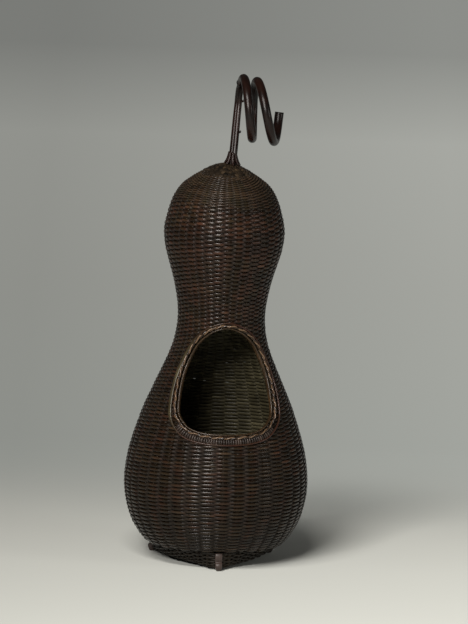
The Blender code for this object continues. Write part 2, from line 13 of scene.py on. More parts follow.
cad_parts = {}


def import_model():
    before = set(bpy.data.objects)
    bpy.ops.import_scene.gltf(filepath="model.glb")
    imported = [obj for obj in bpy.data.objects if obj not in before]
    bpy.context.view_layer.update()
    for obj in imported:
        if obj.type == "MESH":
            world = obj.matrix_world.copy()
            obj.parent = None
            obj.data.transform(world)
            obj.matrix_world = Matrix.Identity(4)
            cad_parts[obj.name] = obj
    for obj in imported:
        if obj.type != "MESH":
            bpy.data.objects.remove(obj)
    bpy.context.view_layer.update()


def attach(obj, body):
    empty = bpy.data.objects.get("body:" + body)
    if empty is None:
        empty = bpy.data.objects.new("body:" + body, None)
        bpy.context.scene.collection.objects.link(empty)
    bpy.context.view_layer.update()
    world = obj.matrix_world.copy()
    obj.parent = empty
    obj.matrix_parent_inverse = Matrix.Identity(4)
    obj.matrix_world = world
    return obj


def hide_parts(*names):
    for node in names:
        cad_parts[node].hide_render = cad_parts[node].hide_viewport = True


MM = 0.001
TAU = math.tau

# Camera and picture
PICTURE_WIDTH = 468
PICTURE_HEIGHT = 624
CAMERA_AZIMUTH = -5.0
CAMERA_ELEVATION = 10.0
CAMERA_LEAN = 2.0
CAMERA_DISTANCE = 13500.0
SENSOR_WIDTH = 36.0
AXIS_FOOT_PIXEL = (213.0, 557.8)
PIXELS_PER_MM = 1.0

# Lamps: azimuth and elevation in degrees, distance, width and height in metres, power, colour
LAMPS = (
    ("key", -23.0, 24.0, 2.6, 0.9, 0.28, 56.0, (1.0, 0.95, 0.90)),
    ("side", 62.0, 14.0, 2.4, 0.8, 0.5, 7.5, (1.0, 0.97, 0.92)),
    ("top", -24.0, 44.0, 2.4, 1.2, 0.2, 42.0, (1.0, 0.95, 0.90)),
)
LAMP_AIM_M = 0.22
WORLD_COLOUR = (1.0, 0.98, 0.94, 1.0)
WORLD_STRENGTH = 0.05

# Floor: half its side and the ranges of its shading, in metres, and its colours from the
# front to the back, as lit near the object and as shown far from it
FLOOR_REACH = 14.0
FLOOR_NEAR, FLOOR_FAR = -0.5, 3.3
FLOOR_LEFT, FLOOR_RIGHT = -0.21, 0.26
FLOOR_LIT_UNTIL, FLOOR_SHOWN_FROM = 0.08, 0.60
FLOOR_GAIN_LEFT, FLOOR_GAIN_RISE = 0.86, 0.30
FLOOR_LIT = (
    (0.0, (0.60, 0.625, 0.59, 1.0)),
    (0.12, (0.64, 0.665, 0.63, 1.0)),
    (0.3, (0.56, 0.58, 0.55, 1.0)),
    (1.0, (0.40, 0.42, 0.39, 1.0)),
)
FLOOR_SHOWN = (
    (0.0, (0.40, 0.41, 0.38, 1.0)),
    (0.30, (0.31, 0.32, 0.295, 1.0)),
    (0.55, (0.315, 0.32, 0.295, 1.0)),
    (0.82, (0.33, 0.335, 0.31, 1.0)),
    (1.0, (0.225, 0.23, 0.215, 1.0)),
)

# Body outline: height above the feet, outer radius
OUTLINE = (
    (18.0, 68.6), (22.0, 72.6), (28.0, 77.2), (34.0, 81.0), (40.0, 84.0), (46.5, 86.6),
    (52.6, 88.4), (58.7, 89.8), (65.0, 91.0), (71.5, 91.7), (80.0, 92.0), (89.0, 91.4),
    (98.0, 90.3), (107.0, 88.8), (116.0, 86.7), (125.7, 84.0), (135.0, 81.0), (144.0, 78.0),
    (153.0, 74.8), (162.0, 71.1), (171.0, 67.2), (180.5, 63.1), (189.0, 59.3), (198.8, 55.0),
    (208.0, 51.2), (217.0, 48.1), (226.0, 45.9), (235.0, 44.5), (244.0, 43.8), (253.0, 44.1),
    (262.0, 45.1), (272.0, 46.9), (284.0, 49.7), (296.0, 53.2), (308.0, 56.8), (319.0, 59.3),
    (331.0, 60.4), (340.0, 59.5), (349.1, 57.4), (357.0, 55.4), (363.0, 53.2), (368.5, 50.9),
    (373.4, 48.0), (377.5, 44.9), (381.0, 41.1), (385.9, 34.7), (390.8, 27.2), (394.9, 19.6),
    (398.1, 13.0), (399.8, 6.6), (400.5, 0.0),
)
FINE_STEPS = 24
NORMAL_WINDOW = 41
CROWN_FINE_POINTS = 700

# Wefts: one strip wound up the body. Its width and slant are shares of a row's pitch, and
# its wanders are random and in millimetres or shares
STAKE_COUNT = 37
STATIONS_PER_STAKE = 6
STATION_PULL = 0.5
STRIP_SIDES = 8
STRIP_THICKNESS = 0.9
STRIP_DOME_SHARE = 2.2
STRIP_NARROW_SHARE = 1.72
STRIP_WIDE_SHARE = 1.80
STRIP_SLANT_SHARE = 0.13
STRIP_RUN = 640.0
WAVE = 0.84
WAVE_SQUARENESS = 0.3
SKIN_DEPTH = WAVE + STRIP_THICKNESS / 2.0 * STRIP_DOME_SHARE
WEFT_FIRST_TURN = 0.105
WEFT_SHORT_TURN = 0.21
WEFT_END_RADIUS = 27.0
ROW_WANDER = 0.09
STATION_WANDER = 0.06
WAVE_WANDER = 0.10
WIDTH_WANDER = 0.04
DOME_NARROWER = 0.2
ROW_PITCHES = (
    (40.0, 2.05), (70.0, 1.94), (110.0, 1.94), (190.0, 1.97), (260.0, 2.0), (300.0, 2.3),
    (361.0, 2.25), (367.0, 1.35), (420.0, 1.30),
)
ROW_TILTS = ((140.0, 2.4), (250.0, 5.0))
ROW_TILT_FADE = 45.0

# Tones of the wefts: lowest, range over the strips, what a lens adds, and painted shade
# that lightens a strip's crests and darkens where it dips under the stakes
WEFT_TONE = 0.16
WEFT_TONE_RANGE = 0.30
WEFT_TONE_WANDER = 0.05
LENS_TONE = 0.08
CREST_PAINTED_SHADE = 0.07
TONE_SPREAD = (2.2, 2.6)

# Looks of the wefts: painted shade on the strips' edges and on the ends where they dip
# under, redder patches, inner faces by their place round the strip, and a dome that is
# duller from one height to another
END_SHADE_SHARE = 0.12
EDGE_SHADE_FROM = 0.50 + END_SHADE_SHARE
EDGE_SHADE_TO = 0.95 + END_SHADE_SHARE
FACE_FROM, FACE_TO = 0.28, 0.46
WARM_FROM, WARM_TO = 0.52, 0.75
DULL_FROM_Z = 358.0
DULL_TO_Z = 372.0
DULL_COLOUR_SHARE = 0.22
DULL_ROUGHNESS = 0.2
INNER_ROUGHNESS = 0.14
END_ROUGHNESS = 0.45
# painted shade: the colour that the strips' edges and dipping ends are darkened towards
EDGE_PAINTED_SHADE = (14, 8, 4)

# Grain of all the woods: noise scales, and how a strip's distance and its turn stretch it
PATCH_SCALE = 38.0
SPOT_SCALE = 70.0
GRAIN_STRETCH = (900.0, 900.0, 60.0)
GRAIN_ALONG, GRAIN_AROUND = 0.09, 5.0
GRAIN_DEPTH_M = 0.0003

# Stakes
STAKE_WIDTH = 3.4
STAKE_THICKNESS = 0.75
STAKE_STEP = 2.5
STAKE_SPACING = 500.0

# Crown
HANDLE_OFFSET = 5.6
CROWN_STEPS = 64
CROWN_LUMPS = 6.0
CROWN_LUMP = 0.26
CROWN_RISE = 1.15
CROWN_RING = 4.6
CROWN_LAP = 1.16

# Mouth: clear opening, and its outline as (height share, half-width share)
MOUTH_BOTTOM = 140.0
MOUTH_HEIGHT = 100.0
MOUTH_WIDTH = 93.0
MOUTH_SHIFT = 2.2
MOUTH_SHARES = (
    (0.0, 0.0), (0.01, 0.46), (0.04, 0.745), (0.085, 0.88), (0.16, 0.985), (0.24, 1.0),
    (0.41, 0.955), (0.58, 0.86), (0.76, 0.69), (0.87, 0.53), (0.96, 0.29),
)
MOUTH_CENTRE = 182.0
MOUTH_STATIONS = 420
CUT_OUTSET = 2.4
HOOP_WIDTH = 1.8
HOOP_DEPTH = 3.9
CORD_OUTSET = 3.6
CORD_LIFT = 1.35
CORD_STRAND = 0.74
CORD_TWIST = 12.5
OUTER_HOOP_OUTSET = 6.0
OUTER_HOOP_LOW_OUTSET = 10.9
OUTER_HOOP_RADIUS = 0.85
OUTER_HOOP_BROADER = 1.1
HOOP_CLOSING_SHARE = 0.2
WRAP_OUTSET = 5.2
WRAP_LENGTH = 4.8
WRAP_COUNT = 45
WRAP_PITCH = 2.4
WRAP_RADIUS = 1.0
WRAP_STATIONS = 9

# Base and feet. A foot's levels are height, how far its front stands past its face, and
# share of its width
BASE_Z = 2.0
BASE_TOP_Z = 18.0
BASE_WALL_INSET = 1.4
BASE_LIFT = 1.3
BASE_WAVE = 0.85
BASE_CORNER_RADIUS = 65.7
BASE_CORNER_ROUND = 9.0
BASE_ROWS = 11
FLOOR_ROWS = 12
FOOT_WIDTH = 7.2
FOOT_DEPTH = 3.0
FOOT_INSET = 0.4
FOOT_SIDES = 16
FOOT_SQUARENESS = 0.45
FOOT_LEVELS = (
    (0.0, 0.8, 0.58), (0.35, 1.3, 0.66), (1.2, 1.9, 0.76), (3.0, 2.7, 0.92),
    (5.0, 3.0, 1.0), (7.2, 2.5, 1.0), (8.3, 1.0, 0.99), (8.9, -0.9, 0.94),
    (9.6, 0.0, 1.0), (13.0, 0.1, 1.0), (16.6, -0.1, 1.0), (17.6, -0.9, 0.86),
)

# Handle
STALK_DIAMETER = 8.2
STALK_TOP_DIAMETER = 7.8
STALK_STEPS = 30
COIL_DIAMETER = 9.0
CROWN_TOP = 400.5
STALK_TOP_OFFSET = 11.0
COIL_RADIUS = 29.3
COIL_CENTRE_Z = 458.5
COIL_CENTRE_Y = -12.0
COIL_START_X = 16.7
COIL_PITCH = 4.1
COIL_SPREAD = 9.1
COIL_LEAN = 2.6
COIL_SKEW = 1.0
COIL_DROP = 2.8
COIL_FIRST = -0.25
COIL_LAST = 1.73
COIL_STEPS = 260
TAIL_HEIGHTS = (384.0, 390.0, 396.0)
HANDLE_SIDES = 36
KNUCKLE_TURN = -0.12
KNUCKLE_RISE = 0.75
GROOVE_TURN = -math.pi / 2.0
GROOVE_DEPTH = 0.85
GROOVE_WIDTH = 0.33
RIDGE = 0.012
ROOT_COUNT = 7
ROOT_REACH = 8.0
ROOT_RADII = ((0.0, 0.5, 0.85, 1.0), (1.4, 1.55, 1.1, 0.6))
BUD_HEIGHTS = (431.5, 461.0)

# Water tube
TUBE_RADIUS = 27.0
TUBE_WALL = 3.0
TUBE_LOW = 5.3
TUBE_HEIGHT = 98.0
TUBE_FLOOR = 5.0
TUBE_SIDES = 72

WALL_NODES = (
    "woven_foot_band",
    "woven_belly_band",
    "woven_lip_band",
    "woven_shoulder_band",
    "woven_neck_band",
    "woven_bulb_band",
)

RANDOM = np.random.default_rng(7)


def srgb(red, green, blue):
    """An 8-bit display colour as the linear colour that a shader takes."""
    shares = [c / 255.0 for c in (red, green, blue)]
    linear = [c / 12.92 if c <= 0.04045 else ((c + 0.055) / 1.055) ** 2.4 for c in shares]
    return (*linear, 1.0)


def smooth_step(share):
    t = np.clip(share, 0.0, 1.0)
    return t * t * (3.0 - 2.0 * t)


def unit(vectors):
    return vectors / np.maximum(np.linalg.norm(vectors, axis=-1, keepdims=True), 1e-12)


def summed(steps):
    """Running total of steps, from zero."""
    return np.concatenate([[0.0], np.cumsum(steps)])


def distances(line):
    """Distance along a line at each of its points."""
    return summed(np.linalg.norm(np.diff(line, axis=0), axis=1))


def loop_steps(line):
    """Length from each point of a closed line to the next."""
    return np.linalg.norm(np.roll(line, -1, 0) - line, axis=1)


def beside(line, normal):
    """Directions along a line, and across it in the surface with a normal."""
    ahead = unit(np.gradient(line, axis=0))
    return ahead, unit(np.cross(ahead, normal))


def curve_through(points, steps, closed=False):
    """A smooth line through points, with a number of steps from each to the next."""
    p = np.array(points, float)
    if closed:
        p = np.vstack([p[-1], p, p[0], p[1]])
    else:
        p = np.vstack([2 * p[0] - p[1], p, 2 * p[-1] - p[-2]])
    t = (np.arange(steps) / steps)[:, None]
    line = []
    for a, b, c, d in zip(p, p[1:], p[2:], p[3:]):
        bend = (2 * a - 5 * b + 4 * c - d) * t**2
        line.append(0.5 * (2 * b + (c - a) * t + bend + (3 * b - a - 3 * c + d) * t**3))
    line = np.vstack(line)
    return line if closed else np.vstack([line, points[-1]])


# Outline of the body as functions of the distance along it

_fine = curve_through(OUTLINE, FINE_STEPS)
LINE_Z = _fine[:, 0]
LINE_R = np.maximum(_fine[:, 1], 0.0)
LINE_S = summed(np.hypot(np.diff(LINE_Z), np.diff(LINE_R)))
_kernel = np.hanning(NORMAL_WINDOW) / np.hanning(NORMAL_WINDOW).sum()
_pad = NORMAL_WINDOW // 2
_dz, _dr = (
    np.convolve(np.pad(np.gradient(line, LINE_S), _pad, mode="edge"), _kernel, mode="valid")
    for line in (LINE_Z, LINE_R)
)
_length = np.hypot(_dz, _dr)
LINE_NR = _dz / _length
LINE_NZ = -_dr / _length


def over_crown(values, reach):
    """Values of the outline's fine line where the crown has a reach from the axis."""
    return np.interp(-reach, -LINE_R[-CROWN_FINE_POINTS:], values[-CROWN_FINE_POINTS:])


WEFT_END_S = float(over_crown(LINE_S, WEFT_END_RADIUS))


def upright(angle):
    """Outward and upward directions at an angle, measured from the front towards +X."""
    radial = np.stack([np.sin(angle), -np.cos(angle), np.zeros_like(angle)], -1)
    up = np.zeros_like(radial)
    up[..., 2] = 1.0
    return radial, up


def at_distance(s, angle, lift):
    """Points, outward normals and along-the-outline directions on the body.

    s is the distance along the outline, and lift stands off the outer surface."""
    r, z, nr, nz = (np.interp(s, LINE_S, line) for line in (LINE_R, LINE_Z, LINE_NR, LINE_NZ))
    radial, up = upright(angle)
    normal = radial * nr[..., None] + up * nz[..., None]
    rising = radial * -nz[..., None] + up * nr[..., None]
    point = radial * r[..., None] + up * z[..., None] + normal * np.asarray(lift)[..., None]
    return point, normal, rising


# Mouth outline


def mouth_edge():
    """Fine closed outline of the clear opening, as (x, z), from the bottom round by +X."""
    half = MOUTH_WIDTH / 2.0
    right = [(w * half, MOUTH_BOTTOM + h * MOUTH_HEIGHT) for h, w in MOUTH_SHARES]
    top = [(0.0, MOUTH_BOTTOM + MOUTH_HEIGHT)]
    left = [(-x, z) for x, z in reversed(right[1:])]
    line = curve_through(right + top + left, FINE_STEPS, closed=True) + (MOUTH_SHIFT, 0.0)
    run = summed(loop_steps(line))
    wanted = np.linspace(0.0, run[-1], MOUTH_STATIONS, endpoint=False)
    ends = np.vstack([line, line[0]])
    return np.stack([np.interp(wanted, run, ends[:, k]) for k in (0, 1)], -1)


MOUTH_EDGE = mouth_edge()
EDGE_S = np.interp(MOUTH_EDGE[:, 1], LINE_Z, LINE_S)
EDGE_R = np.interp(EDGE_S, LINE_S, LINE_R)
EDGE_ANGLE = np.arcsin(MOUTH_EDGE[:, 0] / EDGE_R)
_turn, _rise = (np.roll(line, -3) - np.roll(line, 3) for line in (EDGE_ANGLE, EDGE_S))
_ahead = unit(np.stack([_turn * EDGE_R, _rise], -1))
EDGE_OUT = np.stack([_ahead[:, 1], -_ahead[:, 0]], -1)


def mouth_place(outset):
    """Distance along the outline and angle of the places at an outset from the mouth's
    edge, measured over the surface."""
    s = EDGE_S + EDGE_OUT[:, 1] * outset
    return s, EDGE_ANGLE + EDGE_OUT[:, 0] * outset / EDGE_R


def mouth_loop(outset, lift):
    """Points round the mouth at an outset from its edge, with the outward direction in the
    surface and the surface's normal at each."""
    s, angle = mouth_place(outset)
    point, normal, rising = at_distance(s, angle, np.full(len(s), lift))
    out = unit(np.cross(rising, normal) * EDGE_OUT[:, 0:1] + rising * EDGE_OUT[:, 1:2])
    return point, out, normal


def outside_mouth(points):
    """Signed distance, roughly, from the edge that the weave is cut at; above zero is on the
    wall, and anything at the back is far outside."""
    s, angle = mouth_place(CUT_OUTSET)
    edge_x = np.interp(s, LINE_S, LINE_R) * np.sin(angle) - MOUTH_SHIFT
    edge_z = np.interp(s, LINE_S, LINE_Z) - MOUTH_CENTRE
    turn = np.arctan2(edge_x, edge_z)
    reach = np.hypot(edge_x, edge_z)
    order = np.argsort(turn)
    x, z = points[..., 0] - MOUTH_SHIFT, points[..., 2] - MOUTH_CENTRE
    limit = np.interp(np.arctan2(x, z), turn[order], reach[order], period=TAU)
    return np.where(points[..., 1] < 0.0, np.hypot(x, z) - limit, 100.0)


# Meshes


def skin(
    name, rings, material, body, keep=None, closed=False, along=None, tone=None, over=None
):
    """Joins rings of points into tubes. keep marks the rings that are used: a tube ends
    wherever one is left out. along is each ring's distance, tone its colour value, and over
    is 1 in the middle of a visible stretch of strip and 0 where it dips under."""
    n, m = rings.shape[:2]
    keep = np.ones(n, bool) if keep is None else keep
    along = np.arange(n, dtype=float) if along is None else along
    first = np.arange(n if closed else n - 1)
    second = (first + 1) % n
    linked = keep[first] & keep[second]
    first, second = first[linked], second[linked]
    j = np.arange(m)
    k = (j + 1) % m
    near, far = first[:, None] * m, second[:, None] * m
    quads = np.stack([near + j, near + k, far + k, far + j], -1).reshape(-1, 4)
    used = np.zeros(n, bool)
    used[first] = True
    used[second] = True
    place = np.cumsum(np.repeat(used, m)) - 1
    faces = place[quads].tolist()
    faces += [place[i * m + j[::-1]].tolist() for i in sorted(set(first) - set(second))]
    faces += [place[i * m + j].tolist() for i in sorted(set(second) - set(first))]
    mesh = bpy.data.meshes.new(name)
    mesh.from_pydata((rings[used].reshape(-1, 3) * MM).tolist(), [], faces)
    mesh.materials.append(material)
    mesh.shade_smooth()
    mesh.update()
    made = bpy.data.objects.new(name, mesh)
    bpy.context.scene.collection.objects.link(made)
    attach(made, body)
    stored = [
        (label, np.repeat(values[used], m))
        for label, values in (("along", along), ("tone", tone), ("over", over))
        if values is not None
    ]
    stored.append(("around", np.tile(np.abs(j / m - 0.5) * 2.0, int(used.sum()))))
    for label, values in stored:
        layer = mesh.attributes.new(label, "FLOAT", "POINT")
        layer.data.foreach_set("value", values.astype(np.float32))
    return made


def skin_tubes(name, tubes, material):
    """One piece of the basket from several tubes, each with its rings, its distances, its
    tones and, where it has gaps, its rings in use. The last ring of each is left out, so
    that it isn't joined to the next."""
    parts = []
    for rings, run, tone, *in_use in tubes:
        keep = np.arange(len(rings)) < len(rings) - 1
        if in_use:
            keep &= in_use[0]
        parts.append((rings, keep, run, np.broadcast_to(tone, len(rings))))
    rings, keep, run, tone = (np.concatenate(part) for part in zip(*parts))
    return skin(name, rings, material, "basket", keep, False, run, tone)


def with_spare(values):
    """The values with the last one again, for the ring that skin_tubes leaves out."""
    return np.concatenate([values, values[-1:]])


def grid_uv(made, keep, sides, per_turn):
    """Lays a wound strip's faces out turn above turn, for baking."""
    first = np.nonzero(keep[:-1] & keep[1:])[0]
    turns = len(keep) // per_turn + 1
    column = (first % per_turn) / per_turn
    row = (first // per_turn) * (sides + 1.0)
    u = np.stack([column, column, column + 1.0 / per_turn, column + 1.0 / per_turn], -1)
    j = np.arange(sides)
    v = np.stack([j, j + 1, j + 1, j], -1)
    uv = np.zeros((len(first), sides, 4, 2))
    uv[..., 0] = u[:, None, :]
    uv[..., 1] = (row[:, None, None] + v[None]) / (turns * (sides + 1.0))
    flat = np.zeros(len(made.data.loops) * 2)
    flat[: uv.size] = uv.reshape(-1)
    made.data.uv_layers.new(name="OFBake").data.foreach_set("uv", flat)


def spokes(points, sides, hint, closed=False):
    """Rings of unit directions square to a line, turning as little as they can along it."""
    if closed:
        ahead = unit(np.roll(points, -1, 0) - np.roll(points, 1, 0))
    else:
        ahead = unit(np.gradient(points, axis=0))
    side = np.array(hint, float)
    first = []
    for direction in ahead:
        side = side - direction * side.dot(direction)
        side = side / np.linalg.norm(side)
        first.append(side)
    a = np.array(first)
    b = np.cross(ahead, a)
    turn = np.arange(sides) / sides * TAU
    return a[:, None] * np.cos(turn)[None, :, None] + b[:, None] * np.sin(turn)[None, :, None]


def round_rings(points, radii, sides, hint, closed=False):
    """Round rings about a line."""
    radii = np.broadcast_to(radii, len(points))[:, None, None]
    return points[:, None] + radii * spokes(points, sides, hint, closed)


def section_rings(points, normal, across, half_out, half_across, sides, square=1.0, dome=1.0):
    """Rings of an oval or, with square below 1, squarer section set by two directions.
    With dome above 1 the outward half stands out further than the inward one."""
    turn = np.arange(sides) / sides * TAU
    turn = turn - 0.3 * np.sin(turn) * (dome > 1.0)
    c, s = (np.sign(v) * np.abs(v) ** square for v in (np.cos(turn), np.sin(turn)))
    c = np.where(c > 0.0, c * dome, c)
    half_out = np.broadcast_to(half_out, len(points))[:, None, None]
    half_across = np.broadcast_to(half_across, len(points))[:, None, None]
    return (
        points[:, None]
        + normal[:, None] * half_out * c[None, :, None]
        + across[:, None] * half_across * s[None, :, None]
    )


# Materials: the helpers that take values accept numbers and other nodes' outputs


def node(tree, kind, **values):
    made = tree.nodes.new(kind)
    for key, value in values.items():
        if key in made.inputs:
            made.inputs[key].default_value = value
        else:
            setattr(made, key, value)
    return made


def plug(tree, socket, value):
    if isinstance(value, bpy.types.NodeSocket):
        tree.links.new(value, socket)
    else:
        socket.default_value = value


def reckon(tree, operation, *values):
    made = node(tree, "ShaderNodeMath", operation=operation)
    for socket, value in zip(made.inputs, values):
        plug(tree, socket, value)
    return made.outputs[0]


def remap(tree, value, low, high, to_low=0.0, to_high=1.0):
    """The value's range from low to high, as another range."""
    made = node(tree, "ShaderNodeMapRange")
    for socket, given in zip(made.inputs, (value, low, high, to_low, to_high)):
        plug(tree, socket, given)
    return made.outputs[0]


def blend(tree, share, first, second):
    """A colour between two, by a share."""
    made = node(tree, "ShaderNodeMix", data_type="RGBA")
    for index, value in ((0, share), (6, first), (7, second)):
        plug(tree, made.inputs[index], value)
    return made.outputs[2]


def ramp(tree, stops, share):
    """The colour that stops of a position and a linear colour give for a share."""
    made = tree.nodes.new("ShaderNodeValToRGB")
    elements = made.color_ramp.elements
    elements[0].position, elements[0].color = stops[0]
    elements[1].position, elements[1].color = stops[-1]
    for position, colour in stops[1:-1]:
        elements.new(position).color = colour
    plug(tree, made.inputs["Fac"], share)
    return made.outputs["Color"]


def noise(tree, place, scale, detail, roughness):
    made = node(tree, "ShaderNodeTexNoise", Scale=scale, Detail=detail, Roughness=roughness)
    plug(tree, made.inputs["Vector"], place)
    return made.outputs["Fac"]


def carried(tree, label):
    """A value that a piece carries at its points."""
    return node(tree, "ShaderNodeAttribute", attribute_name=label).outputs["Fac"]


def bamboo(
    name, stops, roughness, strip, grain=0.12, specular=0.35, spread=0.35, inner=None, warm=None
):
    """Stained split bamboo. stops is the colour range from dark to light, each a position
    and an 8-bit display colour. strip is true for pieces that carry their own distance and
    tone. inner is the colour range of the strips' inner faces, which are duller, as the dome
    is, and warm that of the redder patches. With inner, the strips' edges and the ends where
    they dip under are darkened as painted shade."""
    made = bpy.data.materials.new(name)
    made.use_nodes = True
    tree = made.node_tree
    shader = tree.nodes["Principled BSDF"]
    place = node(tree, "ShaderNodeTexCoord").outputs["Object"]
    patch = noise(tree, place, PATCH_SCALE, 3.0, 0.6)
    if strip:
        along, around, tone = (carried(tree, label) for label in ("along", "around", "tone"))
        grained = node(tree, "ShaderNodeCombineXYZ")
        plug(tree, grained.inputs["X"], reckon(tree, "MULTIPLY", along, GRAIN_ALONG))
        plug(tree, grained.inputs["Y"], reckon(tree, "MULTIPLY", around, GRAIN_AROUND))
    else:
        tone = 0.5 - spread / 2.0
        grained = node(tree, "ShaderNodeMapping", Scale=GRAIN_STRETCH)
        plug(tree, grained.inputs["Vector"], place)
    streak = noise(tree, grained.outputs[0], 1.0, 4.0 if grain else 1.0, 0.65)
    toned = reckon(tree, "MULTIPLY_ADD", streak, spread, tone)
    share = reckon(tree, "SUBTRACT", reckon(tree, "MULTIPLY_ADD", patch, 0.5, toned), 0.25)

    def colours(stops):
        return ramp(tree, [(position, srgb(*colour)) for position, *colour in stops], share)

    shown = colours(stops)
    change = 0.09 if grain else 0.02
    rough = remap(tree, streak, 0.0, 1.0, roughness - change, roughness + change)
    if inner:
        height = node(tree, "ShaderNodeSeparateXYZ")
        plug(tree, height.inputs[0], place)
        height = height.outputs["Z"]
        over = carried(tree, "over")
        back = colours(inner)
        spots = noise(tree, place, SPOT_SCALE, 2.0, 0.6)
        higher = reckon(tree, "MULTIPLY_ADD", height, 0.5, spots)
        shown = blend(tree, remap(tree, higher, WARM_FROM, WARM_TO), shown, colours(warm))
        dome = remap(tree, height, DULL_FROM_Z * MM, DULL_TO_Z * MM, 0.0, DULL_COLOUR_SHARE)
        shown = blend(tree, dome, shown, back)
        # painted shade: the strips' edges, and more so the ends where they dip under, darken
        pointed = reckon(tree, "MULTIPLY_ADD", over, END_SHADE_SHARE, around)
        edge = remap(tree, pointed, EDGE_SHADE_FROM, EDGE_SHADE_TO)
        face = remap(tree, around, FACE_FROM, FACE_TO)
        shown = blend(tree, face, back, blend(tree, edge, srgb(*EDGE_PAINTED_SHADE), shown))
        dull = remap(tree, face, 0.0, 1.0, INNER_ROUGHNESS, 0.0)
        dull = reckon(tree, "MAXIMUM", dull, reckon(tree, "MULTIPLY", dome, DULL_ROUGHNESS))
        ends = remap(tree, over, 0.35, 0.8, END_ROUGHNESS, 0.0)
        rough = reckon(tree, "ADD", rough, reckon(tree, "MAXIMUM", dull, ends))
    plug(tree, shader.inputs["Base Color"], shown)
    plug(tree, shader.inputs["Roughness"], rough)
    if grain:
        bump = node(tree, "ShaderNodeBump", Strength=grain, Distance=GRAIN_DEPTH_M)
        plug(tree, bump.inputs["Height"], streak)
        plug(tree, shader.inputs["Normal"], bump.outputs["Normal"])
    shader.inputs["Specular IOR Level"].default_value = specular
    return made


# Weave


def row_turns():
    """Angle travelled by the spiralling weft, and its pitch, along the outline."""
    pitch = np.interp(LINE_Z, *zip(*ROW_PITCHES))
    return summed(np.diff(LINE_S) / ((pitch[1:] + pitch[:-1]) / 2.0) * TAU), pitch


def smooth_noise(count, spacing, size):
    """Slow random wander of a given size over a line of stations."""
    marks = RANDOM.normal(size=count // spacing + 3)
    return np.interp(np.arange(count) / spacing, np.arange(len(marks)), marks) * size


def trim(rings, clear):
    """Moves the first ring past each crossing of the mouth's edge onto the edge, and marks
    the rings in use. clear is each ring's distance outside the edge."""
    keep = clear > 0.0
    crossings = [(i, i + 1) for i in np.nonzero(keep[:-1] & ~keep[1:])[0]]
    crossings += [(i + 1, i) for i in np.nonzero(~keep[:-1] & keep[1:])[0]]
    for near, far in crossings:
        if not keep[far]:
            share = clear[near] / (clear[near] - clear[far])
            rings[far] = rings[near] + (rings[far] - rings[near]) * share
            keep[far] = True
    return keep


def weft_wall(material):
    """The wefts of the whole wall: one strip wound in a spiral, over and under the stakes."""
    turns, pitch = row_turns()
    per_turn = STAKE_COUNT * STATIONS_PER_STAKE
    total = float(np.interp(WEFT_END_S, LINE_S, turns))
    count = int((total / TAU - WEFT_SHORT_TURN) * per_turn)
    phi = (round(WEFT_FIRST_TURN * per_turn) + np.arange(count)) * TAU / per_turn
    phi = phi + STATION_PULL / STAKE_COUNT * np.sin(phi * STAKE_COUNT)
    s = np.interp(phi, turns, LINE_S)
    r = np.interp(s, LINE_S, LINE_R)
    angle = phi % TAU
    near_end = smooth_step(s / ROW_TILT_FADE) * smooth_step((WEFT_END_S - s) / ROW_TILT_FADE)
    z = np.interp(s, LINE_S, LINE_Z)
    tilt = np.interp(z, *zip(*ROW_TILTS))
    slide = -np.tan(np.radians(tilt)) * r * np.sin(angle) * near_end
    slide += smooth_noise(count, per_turn // 5, ROW_WANDER) * near_end
    slide += smooth_noise(count, STATIONS_PER_STAKE, STATION_WANDER) * near_end
    local = np.interp(s, LINE_S, pitch)
    beat = phi * STAKE_COUNT / 2.0
    wave = np.sign(np.cos(beat)) * np.abs(np.cos(beat)) ** WAVE_SQUARENESS
    slide += STRIP_SLANT_SHARE * local * np.sin(beat)
    wave = wave * (1.0 + smooth_noise(count, STATIONS_PER_STAKE * 2, WAVE_WANDER))
    lift = WAVE * np.minimum(local / 2.0, 1.0) * wave - SKIN_DEPTH
    point, normal, _ = at_distance(s + slide, angle, lift)
    ahead, across = beside(point, normal)
    outward = unit(np.cross(across, ahead))
    spread = smooth_step(np.abs(np.cos(beat)) * 1.15)
    height = STRIP_NARROW_SHARE + (STRIP_WIDE_SHARE - STRIP_NARROW_SHARE) * spread
    wander = smooth_noise(count, STATIONS_PER_STAKE * 2, WIDTH_WANDER)
    height = height * local / 2.0 * (1.0 + wander)
    in_dome = smooth_step((z - DULL_FROM_Z) / (DULL_TO_Z - DULL_FROM_Z))
    height = height * (1.0 - DOME_NARROWER * in_dome)
    half = STRIP_THICKNESS / 2.0
    rings = section_rings(
        point, outward, across, half, height, STRIP_SIDES, 1.0, STRIP_DOME_SHARE
    )
    keep = trim(rings, outside_mouth(point))
    run = distances(point)
    strip = (run / STRIP_RUN).astype(int)
    strip_tone = RANDOM.beta(*TONE_SPREAD, size=strip.max() + 2)
    lens = ((beat + math.pi) / TAU).astype(int)
    lens_tone = RANDOM.normal(size=lens.max() + 2) * LENS_TONE
    tone = strip_tone[strip] * WEFT_TONE_RANGE + WEFT_TONE + lens_tone[lens]
    tone = tone + smooth_noise(count, per_turn // 9, WEFT_TONE_WANDER)
    # painted shade: lighter where the strip crests over a stake, darker where it dips under
    tone += CREST_PAINTED_SHADE * np.cos(beat)
    over = np.abs(np.cos(beat)) ** 0.7
    made = skin(
        "woven_wefts", rings, material, "basket", keep, False, run, tone, over
    )
    grid_uv(made, keep, STRIP_SIDES, per_turn)
    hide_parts(*WALL_NODES)


def stake_angle(i):
    return TAU * i / STAKE_COUNT


